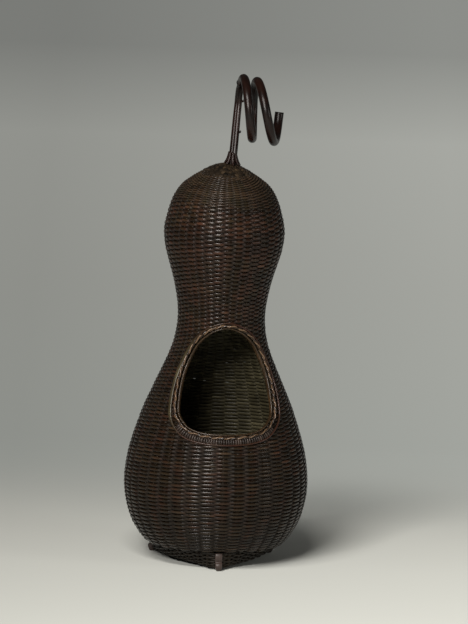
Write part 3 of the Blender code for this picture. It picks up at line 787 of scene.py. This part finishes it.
def stakes_wall(material):
    """The stakes inside the wall, from the base to where the wefts end."""
    s = np.arange(0.0, WEFT_END_S + STAKE_STEP, STAKE_STEP)
    r = np.interp(s, LINE_S, LINE_R)
    half = np.minimum(STAKE_WIDTH, r * TAU / STAKE_COUNT * 0.62) / 2.0
    tubes = []
    for i in range(STAKE_COUNT):
        angle = np.full(len(s), stake_angle(i))
        point, normal, rising = at_distance(s, angle, np.full(len(s), -SKIN_DEPTH))
        across = np.cross(rising, normal)
        rings = section_rings(point, normal, across, STAKE_THICKNESS / 2.0, half, 6, 0.8)
        tone = 0.2 + 0.35 * RANDOM.random()
        tubes.append((rings, s + i * STAKE_SPACING, tone, outside_mouth(point) > 0.0))
    skin_tubes("woven_stakes", tubes, material)


def crown_stakes(material):
    """The stakes' upper ends, side by side over the top and closing up round the handle."""
    share = np.linspace(0.0, 1.0, CROWN_STEPS)
    first = WEFT_END_RADIUS * CROWN_LAP
    reach = first + (CROWN_RING - first) * share
    half = reach * TAU / STAKE_COUNT * (0.36 + 0.22 * smooth_step(share * 3.0)) + 0.12
    tubes = []
    for i in range(STAKE_COUNT):
        turn = stake_angle(i)
        x = HANDLE_OFFSET * smooth_step(share) + reach * math.sin(turn)
        y = -reach * math.cos(turn)
        s = over_crown(LINE_S, np.hypot(x, y))
        lift = -SKIN_DEPTH + CROWN_RISE * smooth_step(share * 3.2)
        lift = lift + RANDOM.normal() * 0.08 + smooth_noise(CROWN_STEPS, 3, 0.10)
        lift = lift + CROWN_LUMP * np.cos(share * TAU * CROWN_LUMPS + math.pi * i)
        point, normal, _ = at_distance(s, np.arctan2(x, -y), lift)
        _, across = beside(point, normal)
        rings = section_rings(point, normal, across, STAKE_THICKNESS / 2.0, half, 8, 0.9)
        tone = 0.18 + 0.25 * RANDOM.random() + smooth_noise(CROWN_STEPS, 4, 0.20)
        run = share * 30.0 + i * STAKE_SPACING
        tubes.append((with_spare(rings), with_spare(run), with_spare(tone)))
    made = skin_tubes("crown_stakes", tubes, material)
    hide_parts("crown")


# Base


def triangle_reach(angle):
    """Distance from the axis to the base's straight-sided, round-cornered edge."""
    sector = TAU / 3.0
    off = (angle + sector / 2.0) % sector - sector / 2.0
    centre = BASE_CORNER_RADIUS - BASE_CORNER_ROUND
    side = centre * math.cos(sector / 2.0) + BASE_CORNER_ROUND
    straight = side / np.cos(sector / 2.0 - np.abs(off))
    past = centre * np.sin(off)
    inside = np.maximum(BASE_CORNER_ROUND**2 - past**2, 0.0)
    arc = centre * np.cos(off) + np.sqrt(inside)
    return np.where(np.abs(past) < BASE_CORNER_ROUND, np.minimum(straight, arc), straight)


def base_point(q, angle, lift):
    """A point of the base: q runs from 0 at the round wall to 1 at the triangle's edge and
    to 2 at the middle of the floor."""
    edge = triangle_reach(angle)
    wall = float(LINE_R[0]) - BASE_WALL_INSET
    side = np.clip(q, 0.0, 1.0)
    inner = np.clip(q - 1.0, 0.0, 1.0)
    reach = (wall + (edge - wall) * side) * (1.0 - inner)
    z = BASE_TOP_Z + (BASE_Z - BASE_TOP_Z) * np.sin(side * math.pi / 2.0) ** 1.2
    turned = smooth_step((q - 0.75) / 0.4)
    radial, up = upright(angle)
    slope = (wall - edge) / np.hypot(wall - edge, BASE_TOP_Z - BASE_Z)
    out_r = np.sqrt(1.0 - slope**2) * (1.0 - turned)
    out_z = -slope * (1.0 - turned) - turned
    normal = unit(radial * out_r[..., None] + up * out_z[..., None])
    point = radial * reach[..., None] + up * z[..., None]
    return point + normal * np.asarray(lift)[..., None], normal


def base_weave(material):
    """Wefts of the base, wound from the wall to the triangle's edge and over the floor."""
    per_turn = STAKE_COUNT * STATIONS_PER_STAKE
    rows = BASE_ROWS + FLOOR_ROWS
    count = int((rows - 0.6) * per_turn)
    phi = TAU * 0.1 + np.arange(count) * TAU / per_turn
    row = phi / TAU
    q = np.where(row < BASE_ROWS, row / BASE_ROWS, 1.0 + (row - BASE_ROWS) / FLOOR_ROWS)
    angle = phi % TAU
    wave = np.cos(phi * STAKE_COUNT / 2.0)
    point, normal = base_point(q, angle, BASE_WAVE * wave - BASE_LIFT)
    later, _ = base_point(q + 1.0 / np.where(q < 1.0, BASE_ROWS, FLOOR_ROWS), angle, 0.0 * q)
    here, _ = base_point(q, angle, 0.0 * q)
    pitch = np.linalg.norm(later - here, axis=1)
    half = np.clip(pitch * 0.52, 0.4, 1.35)
    _, across = beside(point, normal)
    rings = section_rings(point, normal, across, STRIP_THICKNESS / 2.0, half, 6, 0.9)
    run = distances(point)
    tone = RANDOM.beta(*TONE_SPREAD, size=rows + 2)[row.astype(int)] * 0.5 + 0.1
    made = skin("base_wefts", rings, material, "basket", None, False, run, tone)
    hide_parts("base_mat")


def base_stakes(material):
    q = np.linspace(-0.02, 1.92, 34)
    tubes = []
    for i in range(STAKE_COUNT):
        angle = np.full(len(q), stake_angle(i))
        point, normal = base_point(q, angle, np.full(len(q), -BASE_LIFT))
        _, across = beside(point, normal)
        reach = np.hypot(point[:, 0], point[:, 1])
        half = np.minimum(STAKE_WIDTH, reach * TAU / STAKE_COUNT * 0.7) / 2.0
        rings = section_rings(point, normal, across, STAKE_THICKNESS / 2.0, half, 6, 0.8)
        tubes.append((rings, q * 40.0 + i * STAKE_SPACING, 0.15 + 0.4 * RANDOM.random()))
    skin_tubes("base_stakes", tubes, material)


def foot(name, cad_node, turn, material):
    """A bamboo strip down a corner of the base, nicked above its rounded toe."""
    back = BASE_CORNER_RADIUS - FOOT_INSET
    rings = []
    for z, past, width in FOOT_LEVELS:
        front = back + FOOT_DEPTH + past
        ring = []
        for k in range(FOOT_SIDES):
            c, s = (
                math.copysign(abs(v) ** FOOT_SQUARENESS, v)
                for v in (math.cos(TAU * k / FOOT_SIDES), math.sin(TAU * k / FOOT_SIDES))
            )
            out = (front + back) / 2.0 + (front - back) / 2.0 * c
            side = FOOT_WIDTH / 2.0 * width * s
            x = out * math.sin(turn) + side * math.cos(turn)
            y = -out * math.cos(turn) + side * math.sin(turn)
            ring.append((x, y, z))
        rings.append(ring)
    rings = np.array(rings)
    made = skin(name, rings, material, "basket", None, False, rings[:, 0, 2])
    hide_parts(cad_node)


# Mouth pieces


def inner_hoop(material):
    point, out, normal = mouth_loop(HOOP_WIDTH / 2.0 - 0.1, -SKIN_DEPTH)
    rings = section_rings(point, normal, out, HOOP_DEPTH / 2.0, HOOP_WIDTH / 2.0, 12, 0.62)
    made = skin("inner_hoop", rings, material, "basket", None, True)
    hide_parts("mouth_inner_hoop")


def twisted_cord(material):
    """Two split-cane strands laid round each other along the mouth."""
    point, out, normal = mouth_loop(CORD_OUTSET, CORD_LIFT)
    step = loop_steps(point)
    run = summed(step)[:-1]
    twists = round(step.sum() / CORD_TWIST)
    tubes = []
    for k in range(2):
        turn = run / step.sum() * TAU * twists + math.pi * k
        centre = point + (
            out * np.cos(turn)[:, None] + normal * np.sin(turn)[:, None] * 0.9
        ) * (CORD_STRAND * 0.92)
        strand = round_rings(centre, CORD_STRAND, 8, (0.0, 0.0, 1.0), True)
        strand = np.concatenate([strand, strand[:2]])
        tone = 0.64 - 0.5 * k + smooth_noise(len(strand), 9, 0.10)
        tubes.append((strand, np.concatenate([run, run[:2]]), tone))
    made = skin_tubes("twisted_cord", tubes, material)
    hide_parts("mouth_twisted_cord")


def outer_hoop(material):
    """The outer hoop, which runs wide below for the wraps and is broader on the left, where
    its tone is painted lighter as a highlight.
    """
    share = (MOUTH_EDGE[:, 1] - MOUTH_BOTTOM) / MOUTH_HEIGHT
    closed = smooth_step((share - HOOP_CLOSING_SHARE) / (1.0 - HOOP_CLOSING_SHARE))
    outset = OUTER_HOOP_LOW_OUTSET + (OUTER_HOOP_OUTSET - OUTER_HOOP_LOW_OUTSET) * closed
    left = smooth_step((-EDGE_OUT[:, 0] - 0.6) / 0.4)
    half = OUTER_HOOP_RADIUS + OUTER_HOOP_BROADER * left
    point, out, normal = mouth_loop(outset + OUTER_HOOP_RADIUS - half, OUTER_HOOP_RADIUS * 0.8)
    rings = section_rings(point, normal, out, OUTER_HOOP_RADIUS, half, 12)
    run = np.arange(len(point)) * 0.7
    # painted highlight: the tone is lighter and more olive on the left side
    tone = 0.30 + 0.40 * left + smooth_noise(len(point), 12, 0.08)
    made = skin("outer_hoop", rings, material, "basket", None, True, run, tone)
    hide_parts("mouth_outer_hoop")


def rim_wraps(material):
    """Short upright wraps side by side below the mouth."""
    upper, _, upper_normal = mouth_loop(WRAP_OUTSET, 0.1)
    lower, _, _ = mouth_loop(WRAP_OUTSET + WRAP_LENGTH, 0.1)
    step = loop_steps(upper)
    run = summed(step)[:-1]
    run = np.where(run > step.sum() / 2.0, run - step.sum(), run)
    order = np.argsort(run)
    share = np.linspace(-0.12, 1.06, WRAP_STATIONS)[:, None]
    arch = np.sin(np.clip(share, 0.0, 1.0) * math.pi) ** 0.5
    tubes = []
    for k in range(WRAP_COUNT):
        spot = (k - (WRAP_COUNT - 1) / 2.0) * WRAP_PITCH + RANDOM.normal() * 0.12
        top, low, normal = (
            np.array([np.interp(spot, run[order], line[order, c]) for c in range(3)])
            for line in (upper, lower, upper_normal)
        )
        normal = normal / np.linalg.norm(normal)
        line = top + (low - top) * share + normal * (arch * 0.75 - 0.5)
        rings = with_spare(round_rings(line, WRAP_RADIUS, 8, (0.0, 1.0, 0.0)))
        tubes.append((rings, np.arange(len(rings)) * 0.6 + k * 50.0, 0.15 + 0.5 * RANDOM.random()))
    made = skin_tubes("rim_wraps", tubes, material)
    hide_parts("mouth_lashings")


# Handle


def coil_point(turn):
    """Centreline of the curl: turn 0 is its first top, turn 0.25 its first front."""
    angle = TAU * turn
    x = COIL_START_X + COIL_PITCH * turn + COIL_SPREAD * turn * turn
    x = x - COIL_LEAN * np.cos(angle) - COIL_SKEW * np.sin(angle)
    joined = smooth_step((turn - COIL_FIRST) / 0.35)
    x = STALK_TOP_OFFSET * (1.0 - joined) + x * joined
    y = COIL_CENTRE_Y - COIL_RADIUS * np.sin(angle)
    z = COIL_CENTRE_Z - COIL_DROP * turn + COIL_RADIUS * np.cos(angle)
    return np.stack([x, y, z], -1)


def handle_line():
    """Points and radii of the whole handle, from its hidden tail to its cut end, and the
    turn of the curl at each, which is -1 below it."""
    root = np.array([HANDLE_OFFSET, 0.0, CROWN_TOP + 1.4])
    top = coil_point(np.array([COIL_FIRST]))[0]
    share = np.linspace(0.0, 1.0, STALK_STEPS, endpoint=False)[:, None]
    lean = 3.0 * share**2 - 2.0 * share**3
    stalk = root + (top - root) * share
    stalk[:, 1] = (root[1] + (top[1] - root[1]) * (lean * 0.6 + share * 0.4))[:, 0]
    turns = np.linspace(COIL_FIRST, COIL_LAST, COIL_STEPS)
    tail = np.array([[HANDLE_OFFSET, 0.0, z] for z in TAIL_HEIGHTS])
    points = np.concatenate([tail, stalk, coil_point(turns)])
    stalk_width = STALK_DIAMETER + (STALK_TOP_DIAMETER - STALK_DIAMETER) * share[:, 0]
    grown = smooth_step((turns - COIL_FIRST) * 2.0)
    coil_width = STALK_TOP_DIAMETER + (COIL_DIAMETER - STALK_TOP_DIAMETER) * grown
    radii = np.concatenate([np.full(len(tail), STALK_DIAMETER), stalk_width, coil_width]) / 2.0
    kernel = np.ones(7) / 7.0
    padded = np.pad(points, ((3, 3), (0, 0)), mode="edge")
    inner = np.stack([np.convolve(padded[:, c], kernel, mode="valid") for c in range(3)], -1)
    weight = np.ones(len(points))
    weight[: len(tail)] = 0.0
    weight[-4:] = 0.0
    points = points + (inner - points) * weight[:, None]
    return points, radii, np.concatenate([np.full(len(tail) + STALK_STEPS, -1.0), turns])


def branch_handle(material):
    points, radii, turns = handle_line()
    run = distances(points)

    def bulge(turn, width):
        return np.exp(-(((run - run[np.argmin(np.abs(turns - turn))]) / width) ** 2))

    knuckle = bulge(KNUCKLE_TURN, 1.5)
    wander = smooth_noise(len(run), 18, 0.05)
    profile = radii * (1.0 + wander * 0.4) + KNUCKLE_RISE * knuckle
    profile = profile - 0.25 * bulge(KNUCKLE_TURN - 0.03, 2.6)
    around = np.arange(HANDLE_SIDES) / HANDLE_SIDES * TAU
    off = (around[None, :] - GROOVE_TURN + math.pi) % TAU - math.pi
    fade = 1.0 - 0.75 * smooth_step((run - 70.0) / 60.0)
    depth = GROOVE_DEPTH * fade[:, None] * np.exp(-((off / GROOVE_WIDTH) ** 2))
    ridge = RIDGE * np.sin(around * 5.0 + 1.0)[None, :]
    reach = profile[:, None] - depth + ridge
    rings = points[:, None] + spokes(points, HANDLE_SIDES, (1.0, 0.0, 0.0)) * reach[..., None]
    tone = 0.40 + smooth_noise(len(run), 14, 0.12) - 0.16 * knuckle
    made = skin(
        "branch_handle", rings, material, "basket", None, False, run, tone
    )
    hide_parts("spiral_handle")


def branch_roots(material):
    """Root ends that run down from the handle's foot and spread over the crown."""
    tubes = []
    for i in range(ROOT_COUNT):
        turn = TAU * (i + 0.25) / ROOT_COUNT + RANDOM.normal() * 0.06
        reach = ROOT_REACH + RANDOM.normal() * 0.5
        marks = []
        for distance, rise in ((3.0, 11.5), (3.9, 7.2), (5.0, 3.8), (6.6, 1.5), (reach, 0.35)):
            x, y = HANDLE_OFFSET + math.cos(turn) * distance, math.sin(turn) * distance
            marks.append((x, y, over_crown(LINE_Z, np.hypot(x, y)) + rise))
        line = curve_through(marks, 5)
        radii = np.interp(np.linspace(0.0, 1.0, len(line)), *ROOT_RADII)
        rings = with_spare(round_rings(line, radii, 10, (0.3, 0.9, 0.1)))
        tubes.append((rings, np.arange(len(rings)) * 0.8 + i * 60.0, 0.4 + 0.2 * RANDOM.random()))
    skin_tubes("branch_roots", tubes, material)


def branch_buds(material):
    """Two small pointed buds on the stalk's right side."""
    points, _, _ = handle_line()
    side = np.array([1.0, -0.2, 0.0])
    tubes = []
    for height in BUD_HEIGHTS:
        centre = points[int(np.argmin(np.abs(points[:40, 2] - height)))]
        marks = [centre + side * 3.0, centre + side * 4.6, centre + side * 5.2 + [0, 0, 1.8]]
        line = curve_through([tuple(p) for p in marks], 5)
        radii = 1.35 * (1.0 - np.linspace(0.0, 1.0, len(line))) ** 0.6 + 0.12
        rings = with_spare(round_rings(line, radii, 8, (0.0, 1.0, 0.0)))
        tubes.append((rings, np.arange(len(rings)) * 0.5, 0.35))
    skin_tubes("branch_buds", tubes, material)


# Water tube


def cane_tube(material):
    """Length of cane closed below by its own joint, with a rounded lip."""
    outer, bore = TUBE_RADIUS, TUBE_RADIUS - TUBE_WALL
    low, top = TUBE_LOW, TUBE_LOW + TUBE_HEIGHT
    floor = low + TUBE_FLOOR
    side = [
        (0.5, low),
        (outer - 1.0, low),
        (outer - 0.2, low + 0.4),
        (outer, low + 1.2),
        (outer, low + 9.0),
        (outer - 0.5, low + 10.2),
        (outer - 0.1, low + 11.2),
        (outer, low + 13.0),
        (outer, top - 1.2),
        (outer - 0.4, top - 0.3),
        (outer - 1.2, top),
        (bore + 1.0, top),
        (bore + 0.2, top - 0.5),
        (bore, top - 1.4),
        (bore, floor + 2.5),
        (bore - 1.5, floor + 0.5),
        (bore - 4.0, floor),
        (0.5, floor),
    ]
    turn = -np.arange(TUBE_SIDES) / TUBE_SIDES * TAU
    rings = np.array([[(r * math.cos(t), r * math.sin(t), z) for t in turn] for r, z in side])
    made = skin("cane_tube", rings, material, "liner")
    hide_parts("water_tube")


# Stage


def direction(azimuth, elevation):
    """From the object towards an azimuth, from the front, and an elevation, in degrees."""
    a, e = math.radians(azimuth), math.radians(elevation)
    return Vector((math.sin(a) * math.cos(e), -math.cos(a) * math.cos(e), math.sin(e)))


def place_camera():
    azimuth = math.radians(CAMERA_AZIMUTH)
    lean = math.radians(CAMERA_LEAN)
    back = direction(CAMERA_AZIMUTH, CAMERA_ELEVATION)
    right = Vector((math.cos(azimuth), math.sin(azimuth), 0.0))
    up = back.cross(right)
    picture_right = right * math.cos(lean) + up * math.sin(lean)
    picture_up = up * math.cos(lean) - right * math.sin(lean)
    across = (PICTURE_WIDTH / 2.0 - AXIS_FOOT_PIXEL[0]) / PIXELS_PER_MM
    above = (AXIS_FOOT_PIXEL[1] - PICTURE_HEIGHT / 2.0) / PIXELS_PER_MM
    aim = picture_right * across + picture_up * above
    data = bpy.data.cameras.new("camera")
    data.sensor_fit = "HORIZONTAL"
    data.sensor_width = SENSOR_WIDTH
    data.lens = SENSOR_WIDTH * CAMERA_DISTANCE * PIXELS_PER_MM / PICTURE_WIDTH
    data.clip_start = 0.1
    data.clip_end = 100.0
    camera = bpy.data.objects.new("camera", data)
    turned = Matrix((picture_right, picture_up, back)).transposed().to_4x4()
    turned.translation = (aim + back * CAMERA_DISTANCE) * MM
    camera.matrix_world = turned
    bpy.context.scene.collection.objects.link(camera)
    bpy.context.scene.camera = camera


def add_lamp(name, azimuth, elevation, distance, width, height, power, colour):
    data = bpy.data.lights.new(name, "AREA")
    data.shape = "RECTANGLE"
    data.size = width
    data.size_y = height
    data.energy = power
    data.color = colour
    lamp = bpy.data.objects.new(name, data)
    back = direction(azimuth, elevation)
    lamp.location = Vector((0.0, 0.0, LAMP_AIM_M)) + back * distance
    lamp.rotation_euler = back.to_track_quat("Z", "Y").to_euler()
    bpy.context.scene.collection.objects.link(lamp)


def floor_material():
    """Grey floor, darker far behind and on the left, as painted shading. Far from the object its
    colour shows as it is, and near the object it is lit and keeps the shadow."""
    made = bpy.data.materials.new("floor_grey")
    made.use_nodes = True
    tree = made.node_tree
    shader = tree.nodes["Principled BSDF"]
    shader.inputs["Roughness"].default_value = 0.9
    shader.inputs["Specular IOR Level"].default_value = 0.1
    place = node(tree, "ShaderNodeTexCoord").outputs["Object"]
    azimuth = math.radians(CAMERA_AZIMUTH)
    to_back = (-math.sin(azimuth), math.cos(azimuth), 0.0)
    to_right = (math.cos(azimuth), math.sin(azimuth), 0.0)

    def along(way, low, high):
        line = node(tree, "ShaderNodeVectorMath", operation="DOT_PRODUCT")
        plug(tree, line.inputs[0], place)
        plug(tree, line.inputs[1], way)
        return remap(tree, line.outputs["Value"], low, high)

    # painted shading: the floor's colour falls off towards the back and the left
    back = along(to_back, FLOOR_NEAR, FLOOR_FAR)
    right = along(to_right, FLOOR_LEFT, FLOOR_RIGHT)
    gain = remap(tree, right, 0.0, 1.0, FLOOR_GAIN_LEFT, FLOOR_GAIN_LEFT + FLOOR_GAIN_RISE)

    def graded(stops):
        scaled = node(tree, "ShaderNodeVectorMath", operation="SCALE")
        plug(tree, scaled.inputs[0], ramp(tree, stops, back))
        plug(tree, scaled.inputs["Scale"], gain)
        return scaled.outputs[0]

    plug(tree, shader.inputs["Base Color"], graded(FLOOR_LIT))
    flat = node(tree, "ShaderNodeEmission", Strength=1.0)
    plug(tree, flat.inputs["Color"], graded(FLOOR_SHOWN))
    rays = node(tree, "ShaderNodeLightPath").outputs
    seen = reckon(tree, "MAXIMUM", rays["Is Camera Ray"], rays["Is Glossy Ray"])
    seen = reckon(tree, "MAXIMUM", seen, rays["Is Transmission Ray"])
    far = along(to_back, FLOOR_LIT_UNTIL, FLOOR_SHOWN_FROM)
    far.node.interpolation_type = "SMOOTHSTEP"
    mixed = node(tree, "ShaderNodeMixShader")
    plug(tree, mixed.inputs["Fac"], reckon(tree, "MULTIPLY", far, seen))
    plug(tree, mixed.inputs[1], shader.outputs[0])
    plug(tree, mixed.inputs[2], flat.outputs[0])
    plug(tree, tree.nodes["Material Output"].inputs["Surface"], mixed.outputs[0])
    return made


def lay_stage():
    mesh = bpy.data.meshes.new("floor")
    reach = FLOOR_REACH
    corners = [(x * reach, y * reach, 0.0) for x, y in ((-1, -1), (1, -1), (1, 1), (-1, 1))]
    mesh.from_pydata(corners, [], [(0, 1, 2, 3)])
    mesh.materials.append(floor_material())
    floor = bpy.data.objects.new("floor", mesh)
    bpy.context.scene.collection.objects.link(floor)
    world = bpy.data.worlds.new("studio")
    world.use_nodes = True
    background = world.node_tree.nodes["Background"]
    background.inputs["Color"].default_value = WORLD_COLOUR
    background.inputs["Strength"].default_value = WORLD_STRENGTH
    bpy.context.scene.world = world
    for lamp in LAMPS:
        add_lamp(*lamp)


def main():
    bpy.context.scene.view_settings.view_transform = "Standard"
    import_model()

    weft = bamboo(
        "stained_weft",
        ((0.0, 8, 6, 3), (0.35, 23, 18, 11), (0.7, 42, 33, 22), (1.0, 64, 49, 35)),
        0.25,
        True,
        grain=0.06,
        specular=0.20,
        warm=((0.0, 10, 5, 2), (0.35, 30, 18, 12), (0.7, 55, 35, 25), (1.0, 84, 54, 40)),
        inner=((0.0, 26, 24, 16), (0.5, 66, 62, 46), (1.0, 102, 96, 73)),
    )
    stops = ((0.0, 12, 10, 7), (0.5, 36, 29, 21), (1.0, 66, 54, 39))
    stake = bamboo("stained_stake", stops, 0.42, True, specular=0.2)
    stops = ((0.0, 16, 13, 10), (0.5, 30, 25, 19), (1.0, 46, 38, 29))
    base = bamboo("stained_base", stops, 0.48, True, specular=0.15)
    stops = ((0.0, 16, 11, 6), (0.5, 42, 31, 19), (1.0, 88, 66, 42))
    hoop = bamboo("rim_hoop", stops, 0.28, False, specular=0.3, spread=1.3)
    stops = ((0.0, 12, 8, 5), (0.4, 48, 27, 19), (0.75, 44, 38, 25), (1.0, 68, 61, 43))
    outer = bamboo("outer_hoop", stops, 0.30, True, specular=0.25, spread=0.3)
    stops = ((0.0, 12, 8, 5), (0.5, 44, 32, 22), (1.0, 96, 76, 57))
    cord = bamboo("rim_cord", stops, 0.26, True, specular=0.4, spread=0.6)
    stops = ((0.0, 14, 10, 8), (0.5, 36, 29, 25), (1.0, 66, 55, 49))
    wrap = bamboo("rim_wrap", stops, 0.34, True, specular=0.25)
    stops = ((0.0, 30, 23, 20), (0.5, 54, 44, 40), (1.0, 84, 68, 63))
    toe = bamboo("foot_strip", stops, 0.42, False)
    stops = ((0.0, 90, 70, 46), (0.5, 128, 102, 70), (1.0, 160, 130, 92))
    peg = bamboo("peg_strip", stops, 0.5, False)
    stops = ((0.0, 38, 28, 18), (0.5, 66, 50, 32), (1.0, 96, 74, 48))
    cane = bamboo("tube_lacquer", stops, 0.38, False)
    stops = ((0.0, 3, 2, 1), (0.45, 9, 5, 4), (1.0, 36, 18, 12))
    branch = bamboo("polished_branch", stops, 0.33, True, grain=0.0, specular=0.24, spread=0.4)

    weft_wall(weft)
    stakes_wall(stake)
    crown_stakes(stake)
    base_weave(base)
    base_stakes(base)
    foot("foot_strip_front", "foot_front", 0.0, toe)
    foot("foot_strip_right", "foot_right", TAU / 3.0, toe)
    foot("foot_strip_left", "foot_left", -TAU / 3.0, toe)
    inner_hoop(hoop)
    twisted_cord(cord)
    outer_hoop(outer)
    rim_wraps(wrap)
    branch_handle(branch)
    branch_roots(branch)
    branch_buds(branch)
    cane_tube(cane)
    shown_peg = bpy.data.objects["handle_peg"]
    shown_peg.data.materials.clear()
    shown_peg.data.materials.append(peg)

    place_camera()
    lay_stage()


main()
